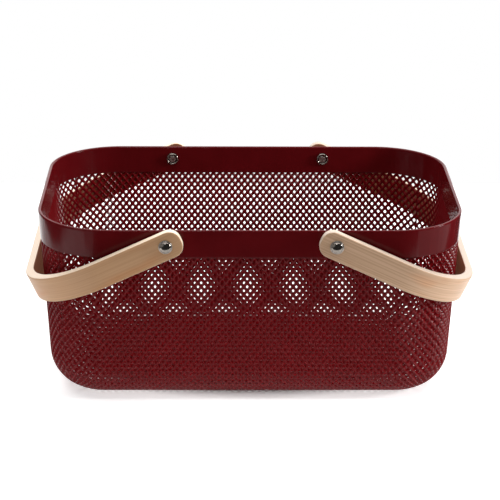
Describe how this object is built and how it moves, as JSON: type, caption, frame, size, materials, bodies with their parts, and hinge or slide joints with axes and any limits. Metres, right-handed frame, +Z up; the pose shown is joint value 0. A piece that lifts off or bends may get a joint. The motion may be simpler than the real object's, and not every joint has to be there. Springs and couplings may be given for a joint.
{
  "type": "mesh basket",
  "caption": "Rectangular drawn-mesh basket with a smooth folded rim band and bent-wood swing handles on domed nuts.",
  "frame": {"origin": "middle of the floor's underside, on the surface the basket stands on", "axes": "+X along the long side to the right, +Y to the back, +Z up"},
  "size_m": [0.388, 0.2698, 0.1621],
  "materials": {
    "maroon_coat": "satin gloss maroon plastic powder coat",
    "birch_ply": "clear satin lacquer on bent birch ply",
    "chrome": "bright plated",
    "zinc": "plain zinc plated"
  },
  "bodies": {
    "basket": {"mesh_body": "maroon_coat", "rim_band": "maroon_coat", "front_left_dome_nut": "chrome", "front_left_outer_washer": "zinc", "front_left_spacer": "zinc", "front_left_cup_washer": "chrome", "front_left_screw": "zinc", "front_right_dome_nut": "chrome", "front_right_outer_washer": "zinc", "front_right_spacer": "zinc", "front_right_cup_washer": "chrome", "front_right_screw": "zinc", "back_left_dome_nut": "chrome", "back_left_outer_washer": "zinc", "back_left_spacer": "zinc", "back_left_cup_washer": "chrome", "back_left_screw": "zinc", "back_right_dome_nut": "chrome", "back_right_outer_washer": "zinc", "back_right_spacer": "zinc", "back_right_cup_washer": "chrome", "back_right_screw": "zinc"},
    "left_handle": {"left_handle": "birch_ply"},
    "right_handle": {"right_handle": "birch_ply"}
  },
  "joints": [
    {"name": "left_handle_swing", "type": "hinge", "parent": "basket", "child": "left_handle", "pos_m": [-0.0712, 0, 0.14885], "axis": [0, 1, 0], "range_deg": [0, 142.5]},
    {"name": "right_handle_swing", "type": "hinge", "parent": "basket", "child": "right_handle", "pos_m": [0.0712, 0, 0.14885], "axis": [0, -1, 0], "range_deg": [0, 142.5]}
  ]
}
